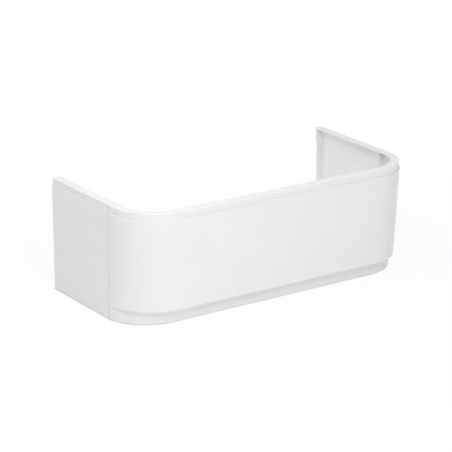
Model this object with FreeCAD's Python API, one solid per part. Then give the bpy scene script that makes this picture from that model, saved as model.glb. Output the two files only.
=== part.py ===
import FreeCAD, Part
import math
import os

from FreeCAD import Vector

# Three-sided bath panel that stands on the floor against a wall.
# X runs along the bath, the front faces -Y, the wall is at +Y, and the floor is Z = 0.
# The origin is on the floor, at the middle of the panel's length and depth.

# Overall sizes, in millimetres
LENGTH = 1700.0            # over the outsides of the two ends
DEPTH = 830.0              # from the wall to the shoulder of the front
HEIGHT = 590.0             # from the floor to the top of the tongue

# Front
CORNER_RADIUS = 240.0      # the bends between the front and the ends, in plan
FRONT_RAKE = 41.0          # how far the face runs back between the shoulder and the floor
TONGUE_HEIGHT = 36.0       # from the shoulder to the top
TONGUE_SETBACK = 6.0       # how far the tongue stands behind the face
TOE_HEIGHT = 75.0          # from the floor to the underside of the overhang
TOE_DEPTH = 38.0           # how far the toe stands behind the face, fading out round the bends
NOSE_RADIUS = 5.0          # quarter round between the underside of the overhang and the face

# Moulded sheet and its inward returns
SHEET = 5.0                # thickness of the sheet
TOP_RETURN = 45.0          # width of the return under the rim
FOOT_RETURN = 40.0         # width of the return on the floor
WALL_RETURN = 40.0         # width of the return along the wall
JOINT_RETURN = 30.0        # width of the two returns that meet at each joint
JOINT_BEHIND_BEND = 12.0   # flat that the front keeps behind its bend, before the joint
FOLD_RADIUS = 4.5          # outside of the folds into the joint, floor and wall returns
EDGE_RADIUS = 2.5          # rounding of the shoulder and of the tongue's top edge

# Screw holes
WALL_SCREW_RADIUS = 2.75   # for a 5 mm screw through the wall return
WALL_SCREW_LOW = 120.0     # height of the lower screws
WALL_SCREW_RISE = 360.0    # from the lower screws to the upper ones
WALL_SCREW_INSET = 24.0    # from the outside of the end to the screw
JOINT_SCREW_RADIUS = 3.25  # for a 6 mm screw through both returns of a joint
JOINT_SCREW_LOW = 120.0    # height of the lowest screw of a joint
JOINT_SCREW_STEP = 180.0   # from one screw of a joint to the next
JOINT_SCREW_COUNT = 3
JOINT_SCREW_INSET = 19.0   # from the outside of the end to the screw

SHOULDER_HEIGHT = HEIGHT - TONGUE_HEIGHT
WALL_Y = DEPTH / 2
PAST_WALL = 2 * FRONT_RAKE  # the plans run this far past the wall and are cut back to it
IN_FRONT = -DEPTH          # a depth in front of the whole panel
NOSE_STEPS = 4             # sections along the nose's quarter round
TOLERANCE = 0.01           # for finding edges by their place


def front_line(z):
    """Y of the raked face at a height."""
    return -DEPTH / 2 + FRONT_RAKE * (1 - z / SHOULDER_HEIGHT)


JOINT_Y = front_line(0) + CORNER_RADIUS + JOINT_BEHIND_BEND


def along_rake(low, high):
    """Step from one height to another that follows the rake of the face."""
    return Vector(0, front_line(high) - front_line(low), high - low)


def bow(z, inset=0.0, setback=0.0):
    """Bend, straight and bend of the front in plan, inset all round and slid back between the flat ends."""
    radius = CORNER_RADIUS - inset
    turn = math.acos(setback / radius)
    centre_x = LENGTH / 2 - inset - radius * math.sin(turn)
    centre_y = front_line(z) + CORNER_RADIUS + setback
    bend = []
    for angle in (0, turn / 2, turn):
        across = centre_x + radius * math.sin(angle)
        bend.append(Vector(across, centre_y - radius * math.cos(angle), z))
    mirrored = [Vector(-point.x, point.y, point.z) for point in reversed(bend)]
    straight = Part.LineSegment(mirrored[-1], bend[0])
    return [Part.Arc(*mirrored).toShape(), straight.toShape(), Part.Arc(*bend).toShape()]


def bow_ends(edges):
    """Left and right end of a bow, where the flat ends of the panel begin."""
    return edges[0].firstVertex().Point, edges[-1].lastVertex().Point


def flat_sides(left, right):
    """Corners of the plan behind a bow, from its right end round the back to its left end."""
    back = WALL_Y + PAST_WALL
    return [right, Vector(right.x, back, right.z), Vector(left.x, back, left.z), left]


def outline(z, inset=0.0, setback=0.0):
    """D-shaped plan at a height."""
    edges = bow(z, inset, setback)
    corners = flat_sides(*bow_ends(edges))
    sides = [Part.LineSegment(a, b).toShape() for a, b in zip(corners, corners[1:])]
    return Part.Wire(edges + sides)


def layer(low, high, inset=0.0, setback=0.0):
    """Solid between two heights with a D-shaped plan that follows the rake."""
    return Part.Face(outline(low, inset, setback)).extrude(along_rake(low, high))


def nose():
    """Front edge of the overhang, rounded from the underside up to the face and fading out at the flat ends."""
    sections = []
    for step in range(NOSE_STEPS + 1):
        turn = math.radians(90 * step / NOSE_STEPS)
        rise = NOSE_RADIUS * (1 - math.cos(turn))
        setback = NOSE_RADIUS * (1 - math.sin(turn))
        edges = bow(TOE_HEIGHT + rise, 0, setback)
        left, right = bow_ends(edges)
        sections.append(Part.Wire(edges + [Part.LineSegment(right, left).toShape()]))
    return Part.makeLoft(sections, True, False)


def flat_block():
    """Block between the two flat ends, from the floor to the shoulder, behind the bends."""
    left, right = bow_ends(bow(0))
    plan = Part.makePolygon([left] + flat_sides(left, right))
    return Part.Face(plan).extrude(along_rake(0, SHOULDER_HEIGHT))


def outer_form():
    """Solid inside the panel's outer faces: the toe, the nose, the face and the tongue."""
    toe = layer(0, TOE_HEIGHT, 0, TOE_DEPTH)
    face = layer(TOE_HEIGHT + NOSE_RADIUS, SHOULDER_HEIGHT)
    tongue = layer(SHOULDER_HEIGHT, HEIGHT, TONGUE_SETBACK)
    return toe.fuse([flat_block(), nose(), face, tongue]).removeSplitter()


def inner_form(inset):
    """Solid at one distance inside the outer faces."""
    face_low = TOE_HEIGHT + inset
    face_high = SHOULDER_HEIGHT - inset
    toe = layer(0, face_low, inset, TOE_DEPTH)
    face = layer(face_low, face_high, inset)
    tongue = layer(face_high, HEIGHT, inset + TONGUE_SETBACK)
    return toe.fuse([face, tongue]).removeSplitter()


def slab(y_low, y_high, z_low=0.0, z_high=HEIGHT):
    """Block as long as the panel, between two depths and two heights."""
    return Part.makeBox(LENGTH, y_high - y_low, z_high - z_low, Vector(-LENGTH / 2, y_low, z_low))


def moulding(y_low, y_high, upright_returns):
    """Sheet between two depths with its top and foot returns, and upright returns given by width and place."""
    outer = outer_form()
    walls = [
        (SHEET, slab(y_low, y_high)),
        (TOP_RETURN, slab(y_low, y_high, HEIGHT - SHEET, HEIGHT)),
        (FOOT_RETURN, slab(y_low, y_high, 0, SHEET)),
    ]
    pieces = [outer.cut(inner_form(width)).common(place) for width, place in walls + upright_returns]
    return pieces[0].fuse(pieces[1:]).removeSplitter()


def edges_along(shape, line):
    """Edges of a shape that lie along a wire or an edge."""
    found = []
    for edge in shape.Edges:
        middle = edge.valueAt((edge.FirstParameter + edge.LastParameter) / 2)
        points = [corner.Point for corner in edge.Vertexes] + [middle]
        if all(Part.Vertex(point).distToShape(line)[0] < TOLERANCE for point in points):
            found.append(edge)
    return found


def round_edges(shape, sides):
    """Round the edges that show: the folds at the floor, joint and wall, the shoulder and the tongue's top."""
    folds = edges_along(shape, outline(0, 0, TOE_DEPTH))
    for side in sides:
        for y in (JOINT_Y, WALL_Y):
            foot = Vector(side * LENGTH / 2, y, 0)
            upright = Part.LineSegment(foot, foot + Vector(0, 0, SHOULDER_HEIGHT))
            folds += edges_along(shape, upright.toShape())
    shape = shape.makeFillet(FOLD_RADIUS, folds)
    shape = shape.makeFillet(EDGE_RADIUS, edges_along(shape, outline(SHOULDER_HEIGHT)))
    return shape.makeFillet(EDGE_RADIUS, edges_along(shape, outline(HEIGHT, TONGUE_SETBACK)))


def drill(shape, places, radius):
    """Cut holes along Y, each long enough to pass through the two sheets of a joint."""
    for place in places:
        start = place - Vector(0, 2 * SHEET, 0)
        shape = shape.cut(Part.makeCylinder(radius, 4 * SHEET, start, Vector(0, 1, 0)))
    return shape


def joint_screws(side):
    """Places of the screws in the joint on one side, -1 for left and 1 for right."""
    x = side * (LENGTH / 2 - JOINT_SCREW_INSET)
    heights = [JOINT_SCREW_LOW + n * JOINT_SCREW_STEP for n in range(JOINT_SCREW_COUNT)]
    return [Vector(x, JOINT_Y, z) for z in heights]


def wall_screws(side):
    """Places of the screws in the wall return on one side, -1 for left and 1 for right."""
    x = side * (LENGTH / 2 - WALL_SCREW_INSET)
    heights = [WALL_SCREW_LOW, WALL_SCREW_LOW + WALL_SCREW_RISE]
    return [Vector(x, WALL_Y, z) for z in heights]


def front_panel():
    """Front with both bends, up to the joint on each end."""
    joint_return = (JOINT_RETURN, slab(JOINT_Y - SHEET, JOINT_Y))
    panel = round_edges(moulding(IN_FRONT, JOINT_Y, [joint_return]), (-1, 1))
    return drill(panel, joint_screws(-1) + joint_screws(1), JOINT_SCREW_RADIUS)


def end_panels():
    """Flat left and right ends, from the joint to the wall."""
    joint_return = (JOINT_RETURN, slab(JOINT_Y, JOINT_Y + SHEET))
    wall_return = (WALL_RETURN, slab(WALL_Y - SHEET, WALL_Y))
    both = moulding(JOINT_Y, WALL_Y, [joint_return, wall_return]).Solids
    panels = []
    for side, solid in zip((-1, 1), sorted(both, key=lambda end: end.CenterOfMass.x)):
        panel = drill(round_edges(solid, (side,)), joint_screws(side), JOINT_SCREW_RADIUS)
        panels.append(drill(panel, wall_screws(side), WALL_SCREW_RADIUS))
    return panels


left_end, right_end = end_panels()
nodes = {
    "front_panel": front_panel(),
    "left_end_panel": left_end,
    "right_end_panel": right_end,
}
os.makedirs("parts", exist_ok=True)
for name, shape in nodes.items():
    shape.exportStep("parts/" + name + ".step")
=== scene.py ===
import math

import bpy
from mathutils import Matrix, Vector


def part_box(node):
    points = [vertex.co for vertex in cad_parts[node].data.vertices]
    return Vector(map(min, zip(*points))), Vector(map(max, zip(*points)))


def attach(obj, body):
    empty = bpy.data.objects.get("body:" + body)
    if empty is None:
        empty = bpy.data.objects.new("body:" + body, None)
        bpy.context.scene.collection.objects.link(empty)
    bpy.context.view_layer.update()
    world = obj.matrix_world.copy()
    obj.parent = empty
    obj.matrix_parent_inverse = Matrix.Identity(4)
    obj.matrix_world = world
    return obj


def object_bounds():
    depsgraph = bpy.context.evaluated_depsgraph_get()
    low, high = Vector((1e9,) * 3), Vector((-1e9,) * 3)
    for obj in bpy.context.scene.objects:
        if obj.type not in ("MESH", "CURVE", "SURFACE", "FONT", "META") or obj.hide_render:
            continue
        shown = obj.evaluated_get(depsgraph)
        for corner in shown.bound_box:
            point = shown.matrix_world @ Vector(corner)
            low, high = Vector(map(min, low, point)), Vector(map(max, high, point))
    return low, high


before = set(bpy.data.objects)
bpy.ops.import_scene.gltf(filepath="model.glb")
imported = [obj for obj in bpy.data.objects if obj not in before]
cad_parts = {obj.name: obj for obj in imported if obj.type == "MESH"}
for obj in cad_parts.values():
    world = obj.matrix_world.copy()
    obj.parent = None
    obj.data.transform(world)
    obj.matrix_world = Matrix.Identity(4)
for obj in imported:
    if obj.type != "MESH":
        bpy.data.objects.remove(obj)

cad_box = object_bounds()

# Lengths are in metres, and colours are linear

# Panels: the gloss side of the sheet faces out, and the back of the sheet faces into the panel
PANELS = ("front_panel", "left_end_panel", "right_end_panel")
SHEET = 0.005                # thickness of the sheet
HEART_MARGIN = 0.12          # from a panel's outside to the space that its back looks into
# Colour of the painted shade in corners and along the seam between panels
PAINTED_SHADE_COLOUR = (0.15, 0.15, 0.145, 1)
CREASE_REACH = 0.008         # how far painted shade reaches out of corners
CREASE_SKY = (0.1, 0.64)     # open share of the sky where painted shade would cover all, and where it ends
SEAM_HALF_WIDTH = 0.0008     # half of the painted shade line where two panels meet
BLEND_ENDS = (0.3, 0.7)      # levels of noise at which a blend reaches its two colours

# Joint screws, M6 with a button head, through both returns of each joint
SCREW_INSET = 0.019          # from the outside of the end to the screw
SCREW_HEIGHTS = (0.12, 0.30, 0.48)
SCREW_LENGTH = 0.020
THREAD_PITCH = 0.001
THREAD_CREST = 0.0030        # radius
THREAD_ROOT = 0.0025         # radius
HEAD_RADIUS = 0.0055
HEAD_HEIGHT = 0.0033
HEAD_FLAT_RADIUS = 0.0028    # of the flat on top of the dome
HEAD_RIM = 0.0006            # height of the straight edge below the dome
SOCKET_FLATS = 0.004
SOCKET_DEPTH = 0.0021
DOME_STEPS = 6
WASHER_RADIUS = 0.009
WASHER_BORE = 0.0032         # radius, also of the nut's bore
WASHER_THICKNESS = 0.0016
WASHER_BEVEL = 0.0002
NUT_FLATS = 0.010
NUT_HEIGHT = 0.005
NUT_CHAMFER = 0.0007
TURN_SEGMENTS = 48
SHARP_ANGLE = math.radians(30)  # edges that turn by more stay sharp

# Camera
AZIMUTH = math.radians(-34.27)
ELEVATION = math.radians(18.45)
DISTANCE = 11.0
TARGET = Vector((-0.0715, -0.0013, 0.3039))
PICTURE_PIXELS = 452
FOCAL_PIXELS = 2150.0
CLIP_END = 4 * DISTANCE

# Studio
WHITE = (1, 1, 1, 1)
AMBIENT = 0.46               # strength of the world's light, which shows as plain white
FLOOR_REACH = 40.0
FLOOR_DROP = 0.0003          # keeps the floor clear of the panel's underside
FLOOR_COLOUR = (0.92, 0.92, 0.92, 1)
FLOOR_LIFT = 0.92            # share of plain white in the floor where the panel's shadow falls
SHADOW_REACH = 1.0           # from the middle of the panel to where the floor starts to turn plain white
SHADOW_END = 2.4             # and to where it is plain white
CONTACT_REACH = 0.016        # how far a dark line reaches from where the panel touches the floor
CONTACT_SKY = (0.5, 0.85)    # open share of the sky where the line is darkest, and where it ends
# The line shows where the panel lies this way from the floor: along the left end, and less along the front
CONTACT_TURN = math.radians(50)  # from +X towards -Y
CONTACT_RISE = math.radians(27)  # up from the floor
LAMPS = {                    # place, target, diameter and watts
    "key": ((-1.75, -3.23, 3.48), (-0.4, -0.35, 0.3), 1.4, 57),
    "low": ((-0.47, -5.8, 0.96), (0.0, -0.38, 0.1), 1.4, 38),
    "top": ((-0.4, -0.4, 3.4), (-0.1, 0.0, 0.3), 2.5, 23),
    "left": ((-2.6, 0.4, 2.4), (0.2, 0.1, 0.3), 1.5, 13),
    "inside": ((-0.35, 1.1, 0.4), (0.85, 0.1, 0.3), 0.35, 1.6),
}


# Materials

class Nodes:
    """Short way to add and join the nodes of one material or world."""

    def __init__(self, owner):
        owner.use_nodes = True
        self.tree = owner.node_tree
        self.tree.nodes.clear()

    def add(self, kind, settings=None, **inputs):
        """New node with its settings and its inputs, which are named with _ for a space."""
        node = self.tree.nodes.new(kind)
        for name, value in (settings or {}).items():
            setattr(node, name, value)
        for name, value in inputs.items():
            self.put(node, name.replace("_", " "), value)
        return node

    def put(self, node, key, value):
        """Give a value to the input with a name or a number, or join it where the value is a socket."""
        socket = node.inputs[key]
        if isinstance(value, bpy.types.NodeSocket):
            self.tree.links.new(value, socket)
        else:
            socket.default_value = value

    def calculate(self, operation, *values):
        """Socket with the result of a math operation."""
        node = self.add("ShaderNodeMath", {"operation": operation})
        for number, value in enumerate(values):
            self.put(node, number, value)
        return node.outputs["Value"]


def surface_place(nodes):
    """Socket with the place on the object."""
    return nodes.add("ShaderNodeTexCoord").outputs["Object"]


def noise(nodes, place, scale, detail=2.0):
    """Socket with an even noise around 0.5."""
    node = nodes.add("ShaderNodeTexNoise", Vector=place, Scale=scale, Detail=detail)
    return node.outputs["Fac"]


def span(nodes, value, low, high):
    """Socket that spreads a 0 to 1 value between two limits."""
    node = nodes.add("ShaderNodeMapRange", Value=value, To_Min=low, To_Max=high)
    return node.outputs["Result"]


def bump(nodes, height, strength, depth, under=None):
    """Normal socket of an uneven surface, on top of another one where it is given."""
    node = nodes.add("ShaderNodeBump", Height=height, Strength=strength, Distance=depth)
    if under is not None:
        nodes.put(node, "Normal", under)
    return node.outputs["Normal"]


def blend_colours(nodes, factor, low, high):
    """Colour socket that runs from one colour to another with a noise."""
    ramp = nodes.add("ShaderNodeValToRGB", Fac=factor)
    for stop, level, colour in zip(ramp.color_ramp.elements, BLEND_ENDS, (low, high)):
        stop.position = level
        stop.color = (*colour, 1)
    return ramp.outputs["Color"]


def mix_colours(nodes, share, first, second):
    """Colour socket that holds a share of the second colour."""
    mix = nodes.add("ShaderNodeMixRGB", Fac=share, Color1=first, Color2=second)
    return mix.outputs["Color"]


def openness(nodes, limits, settings=None, **inputs):
    """Socket that goes from 0 to 1 between two limits of the open share of the sky."""
    sky = nodes.add("ShaderNodeAmbientOcclusion", settings, **inputs)
    low, high = limits
    share = nodes.add("ShaderNodeMapRange", Value=sky.outputs["AO"], From_Min=low, From_Max=high)
    return share.outputs["Result"]


def painted_crease_shade(nodes, colour):
    """Colour socket with painted shade, which greys towards the bottom of a piece's own corners."""
    # Painted shade: the colour darkens where the piece's own corners block the sky
    unshaded = openness(nodes, CREASE_SKY, {"only_local": True}, Distance=CREASE_REACH)
    return mix_colours(nodes, unshaded, PAINTED_SHADE_COLOUR, colour)


def painted_seam_shade(nodes, place, colour):
    """Colour socket with a line of painted shade along the plane where the front meets the ends."""
    # Painted shade: a dark line where the shadow falls in the gap between the panels
    along = nodes.add("ShaderNodeSeparateXYZ", Vector=place).outputs["Y"]
    seam = nodes.calculate("COMPARE", along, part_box("front_panel")[1].y, SEAM_HALF_WIDTH)
    return mix_colours(nodes, seam, colour, PAINTED_SHADE_COLOUR)


def finish_material(nodes, **surface):
    """Surface shader with its inputs, joined to the output."""
    shader = nodes.add("ShaderNodeBsdfPrincipled", **surface)
    nodes.add("ShaderNodeOutputMaterial", Surface=shader.outputs["BSDF"])


def gloss_acrylic():
    """White acrylic, gloss, with a faint ripple and a faint unevenness of tone."""
    material = bpy.data.materials.new("gloss_acrylic")
    nodes = Nodes(material)
    place = surface_place(nodes)
    peel = bump(nodes, noise(nodes, place, scale=500), strength=0.04, depth=0.0003)
    sag = bump(nodes, noise(nodes, place, scale=5), strength=0.09, depth=0.004, under=peel)
    cloud = noise(nodes, place, scale=7)
    tone = blend_colours(nodes, cloud, (0.866, 0.868, 0.870), (0.880, 0.882, 0.884))
    finish_material(
        nodes,
        # Base colour with painted shade in corners and along the seam
        Base_Color=painted_seam_shade(nodes, place, painted_crease_shade(nodes, tone)),
        Roughness=span(nodes, noise(nodes, place, scale=30), 0.10, 0.20),
        Normal=sag,
        IOR=1.49,
    )
    return material


def sheet_back():
    """Back of the sheet: duller, with short fibres in patches that lie every way."""
    material = bpy.data.materials.new("sheet_back")
    nodes = Nodes(material)
    place = surface_place(nodes)
    patch = nodes.add("ShaderNodeTexVoronoi", Vector=place, Scale=38.0).outputs["Color"]
    turn = nodes.add("ShaderNodeVectorMath", {"operation": "SCALE"}, Vector=patch, Scale=math.tau)
    turned = nodes.add(
        "ShaderNodeVectorRotate",
        {"rotation_type": "EULER_XYZ"},
        Vector=place,
        Rotation=turn.outputs["Vector"],
    )
    wave = nodes.add(
        "ShaderNodeTexWave",
        Vector=turned.outputs["Vector"],
        Scale=170.0,
        Distortion=3.0,
        Detail=2.0,
    )
    fibres = wave.outputs["Fac"]
    lay = bump(nodes, fibres, strength=0.35, depth=0.0006)
    lumps = bump(nodes, noise(nodes, place, scale=60), strength=0.4, depth=0.002, under=lay)
    cloud = noise(nodes, place, scale=90, detail=4.0)
    finish_material(
        nodes,
        Base_Color=blend_colours(nodes, cloud, (0.87, 0.87, 0.862), (0.91, 0.91, 0.905)),
        Roughness=span(nodes, fibres, 0.38, 0.55),
        Normal=lumps,
        IOR=1.5,
    )
    return material


def zinc_plate():
    """Bright zinc on steel, a little clouded."""
    material = bpy.data.materials.new("zinc_plate")
    nodes = Nodes(material)
    cloud = noise(nodes, surface_place(nodes), scale=700, detail=3.0)
    finish_material(
        nodes,
        Base_Color=blend_colours(nodes, cloud, (0.56, 0.57, 0.58), (0.70, 0.71, 0.72)),
        Roughness=span(nodes, cloud, 0.24, 0.42),
        Metallic=1.0,
    )
    return material


# Panels

def looks_inside(face, low, high):
    """True for a face that looks towards the space between two corners."""
    nearest = Vector(sorted(triple)[1] for triple in zip(low, face.center, high))
    return face.normal.dot(nearest - face.center) > 0


def dress_panels(outside, inside):
    """Gloss on the faces that look out, and the back of the sheet on those that look into the panel."""
    margin = Vector((HEART_MARGIN,) * 3)
    for name in PANELS:
        low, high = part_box(name)
        low.x, high.x = cad_box[0].x, cad_box[1].x
        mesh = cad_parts[name].data
        mesh.materials.clear()
        mesh.materials.append(outside)
        mesh.materials.append(inside)
        for face in mesh.polygons:
            face.material_index = int(looks_inside(face, low + margin, high - margin))


# Joint screws

def hexagon(angle, flats):
    """Distance from the middle to the side of a hexagon, given across its flats."""
    return flats / 2 / math.cos(angle % (math.pi / 3) - math.pi / 6)


def turned_mesh(name, rings, closed):
    """Mesh of rings along Y, each given by place, radius and, where it has flats, their distance.

    The rings run down the outside, towards -Y, so that the faces look out.
    """
    points = []
    for along, radius, flats in rings:
        for step in range(TURN_SEGMENTS):
            angle = math.tau * step / TURN_SEGMENTS
            reach = min(radius, hexagon(angle, flats)) if flats else radius
            points.append((reach * math.cos(angle), along, reach * math.sin(angle)))
    count = len(rings)
    faces = []
    for ring in range(count if closed else count - 1):
        this, following = ring * TURN_SEGMENTS, (ring + 1) % count * TURN_SEGMENTS
        for step in range(TURN_SEGMENTS):
            beside = (step + 1) % TURN_SEGMENTS
            faces.append((this + step, this + beside, following + beside, following + step))
    if not closed:
        faces.append(tuple(reversed(range(TURN_SEGMENTS))))
        faces.append(tuple(range((count - 1) * TURN_SEGMENTS, count * TURN_SEGMENTS)))
    mesh = bpy.data.meshes.new(name)
    mesh.from_pydata(points, [], faces)
    mesh.shade_smooth()
    mesh.set_sharp_from_angle(angle=SHARP_ANGLE)
    return mesh


def screw_rings():
    """Socket, domed head and threaded shank; Y = 0 is under the head and the head is at +Y."""
    top = HEAD_HEIGHT
    rings = [(top - SOCKET_DEPTH, HEAD_RADIUS, SOCKET_FLATS), (top, HEAD_RADIUS, SOCKET_FLATS)]
    for step in range(DOME_STEPS + 1):
        turn = math.pi / 2 * step / DOME_STEPS
        radius = HEAD_FLAT_RADIUS + (HEAD_RADIUS - HEAD_FLAT_RADIUS) * math.sin(turn)
        rings.append((HEAD_RIM + (top - HEAD_RIM) * math.cos(turn), radius, None))
    rings.append((0, HEAD_RADIUS, None))
    for step in range(round(SCREW_LENGTH / THREAD_PITCH)):
        rings.append((-step * THREAD_PITCH, THREAD_ROOT, None))
        rings.append((-(step + 0.5) * THREAD_PITCH, THREAD_CREST, None))
    rings.append((-SCREW_LENGTH, THREAD_ROOT, None))
    return rings


def washer_rings():
    """Flat washer from its thickness down to Y = 0, with its edges broken."""
    top, bevel = WASHER_THICKNESS, WASHER_BEVEL
    return [
        (top, WASHER_BORE, None),
        (top, WASHER_RADIUS - bevel, None),
        (top - bevel, WASHER_RADIUS, None),
        (bevel, WASHER_RADIUS, None),
        (0, WASHER_RADIUS - bevel, None),
        (0, WASHER_BORE, None),
    ]


def nut_rings():
    """Hexagon nut from its height down to Y = 0, with its corners turned off at both ends."""
    top, corner = NUT_HEIGHT, NUT_FLATS / math.sqrt(3)
    return [
        (top, WASHER_BORE, None),
        (top, NUT_FLATS / 2, None),
        (top - NUT_CHAMFER, corner, NUT_FLATS),
        (NUT_CHAMFER, corner, NUT_FLATS),
        (0, NUT_FLATS / 2, None),
        (0, WASHER_BORE, None),
    ]


def add_object(name, data):
    """New object in the scene."""
    thing = bpy.data.objects.new(name, data)
    bpy.context.scene.collection.objects.link(thing)
    return thing


def add_piece(name, mesh, place):
    """Small piece of the panel at a place."""
    piece = add_object(name, mesh)
    piece.location = place
    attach(piece, "root")


def add_joint_screws(material):
    """Screw, two washers and a nut in each hole of the two joints."""
    screw = turned_mesh("joint_screw", screw_rings(), False)
    washer = turned_mesh("joint_washer", washer_rings(), True)
    nut = turned_mesh("joint_nut", nut_rings(), True)
    for mesh in (screw, washer, nut):
        mesh.materials.append(material)
    joint_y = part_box("front_panel")[1].y
    head_seat = joint_y + SHEET + WASHER_THICKNESS
    nut_seat = joint_y - SHEET - WASHER_THICKNESS
    for side, end_x, inward in (("left", cad_box[0].x, 1), ("right", cad_box[1].x, -1)):
        x = end_x + inward * SCREW_INSET
        for number, z in enumerate(SCREW_HEIGHTS, 1):
            add_piece(f"{side}_joint_screw_{number}", screw, (x, head_seat, z))
            add_piece(f"{side}_head_washer_{number}", washer, (x, joint_y + SHEET, z))
            add_piece(f"{side}_nut_washer_{number}", washer, (x, nut_seat, z))
            add_piece(f"{side}_joint_nut_{number}", nut, (x, nut_seat - NUT_HEIGHT, z))


# Studio

def seen_directly(nodes):
    """Socket that is 1 for rays from the camera, a reflection or a clear surface."""
    path = nodes.add("ShaderNodeLightPath")
    seen = path.outputs["Is Camera Ray"]
    for name in ("Is Glossy Ray", "Is Transmission Ray"):
        seen = nodes.calculate("MAXIMUM", seen, path.outputs[name])
    return seen


def add_world():
    """Even light from all round that shows as white."""
    world = bpy.data.worlds.new("studio")
    bpy.context.scene.world = world
    nodes = Nodes(world)
    strength = span(nodes, seen_directly(nodes), AMBIENT, 1.0)
    background = nodes.add("ShaderNodeBackground", Color=WHITE, Strength=strength)
    nodes.add("ShaderNodeOutputWorld", Surface=background.outputs["Background"])


def floor_paint():
    """Pale paint that keeps a soft shadow and otherwise runs into the white background."""
    material = bpy.data.materials.new("floor")
    nodes = Nodes(material)
    paint = nodes.add("ShaderNodeBsdfDiffuse", Color=FLOOR_COLOUR)
    white = nodes.add("ShaderNodeEmission", Color=WHITE, Strength=1.0)
    away = nodes.add("ShaderNodeVectorMath", {"operation": "LENGTH"}, Vector=surface_place(nodes))
    lift = nodes.add(
        "ShaderNodeMapRange",
        {"interpolation_type": "SMOOTHSTEP"},
        Value=away.outputs["Value"],
        From_Min=SHADOW_REACH,
        From_Max=SHADOW_END,
        To_Min=FLOOR_LIFT,
        To_Max=1.0,
    )
    level = math.cos(CONTACT_RISE)
    lean = nodes.add(
        "ShaderNodeCombineXYZ",
        X=level * math.cos(CONTACT_TURN),
        Y=-level * math.sin(CONTACT_TURN),
        Z=math.sin(CONTACT_RISE),
    )
    clear = openness(nodes, CONTACT_SKY, Distance=CONTACT_REACH, Normal=lean.outputs["Vector"])
    clear_lift = nodes.calculate("MULTIPLY", lift.outputs["Result"], clear)
    share = nodes.calculate("MULTIPLY", clear_lift, seen_directly(nodes))
    mix = nodes.add("ShaderNodeMixShader", Fac=share)
    nodes.put(mix, 1, paint.outputs["BSDF"])
    nodes.put(mix, 2, white.outputs["Emission"])
    nodes.add("ShaderNodeOutputMaterial", Surface=mix.outputs["Shader"])
    return material


def add_floor():
    """Floor that reaches far past the picture."""
    mesh = bpy.data.meshes.new("floor")
    corners = ((-1, -1), (1, -1), (1, 1), (-1, 1))
    points = [(x * FLOOR_REACH, y * FLOOR_REACH, -FLOOR_DROP) for x, y in corners]
    mesh.from_pydata(points, [], [(0, 1, 2, 3)])
    mesh.materials.append(floor_paint())
    floor = add_object("floor", mesh)


def aim(thing, place, target):
    """Put a lamp or camera at a place and point it at a target."""
    thing.location = place
    thing.rotation_euler = (Vector(target) - Vector(place)).to_track_quat("-Z", "Y").to_euler()


def add_lamp(name, place, target, size, watts):
    """Round area lamp."""
    data = bpy.data.lights.new(name, "AREA")
    data.shape = "DISK"
    data.size = size
    data.energy = watts
    aim(add_object(name, data), place, target)


def add_camera():
    """Camera at the photograph's viewing angle."""
    data = bpy.data.cameras.new("camera")
    data.lens = FOCAL_PIXELS / PICTURE_PIXELS * data.sensor_width
    data.clip_end = CLIP_END
    camera = add_object("camera", data)
    level = math.cos(ELEVATION)
    back = Vector((math.sin(AZIMUTH) * level, -math.cos(AZIMUTH) * level, math.sin(ELEVATION)))
    aim(camera, TARGET + DISTANCE * back, TARGET)
    bpy.context.scene.camera = camera


dress_panels(gloss_acrylic(), sheet_back())
add_joint_screws(zinc_plate())
add_world()
add_floor()
for lamp_name, settings in LAMPS.items():
    add_lamp(lamp_name, *settings)
add_camera()
bpy.context.scene.view_settings.view_transform = "Standard"
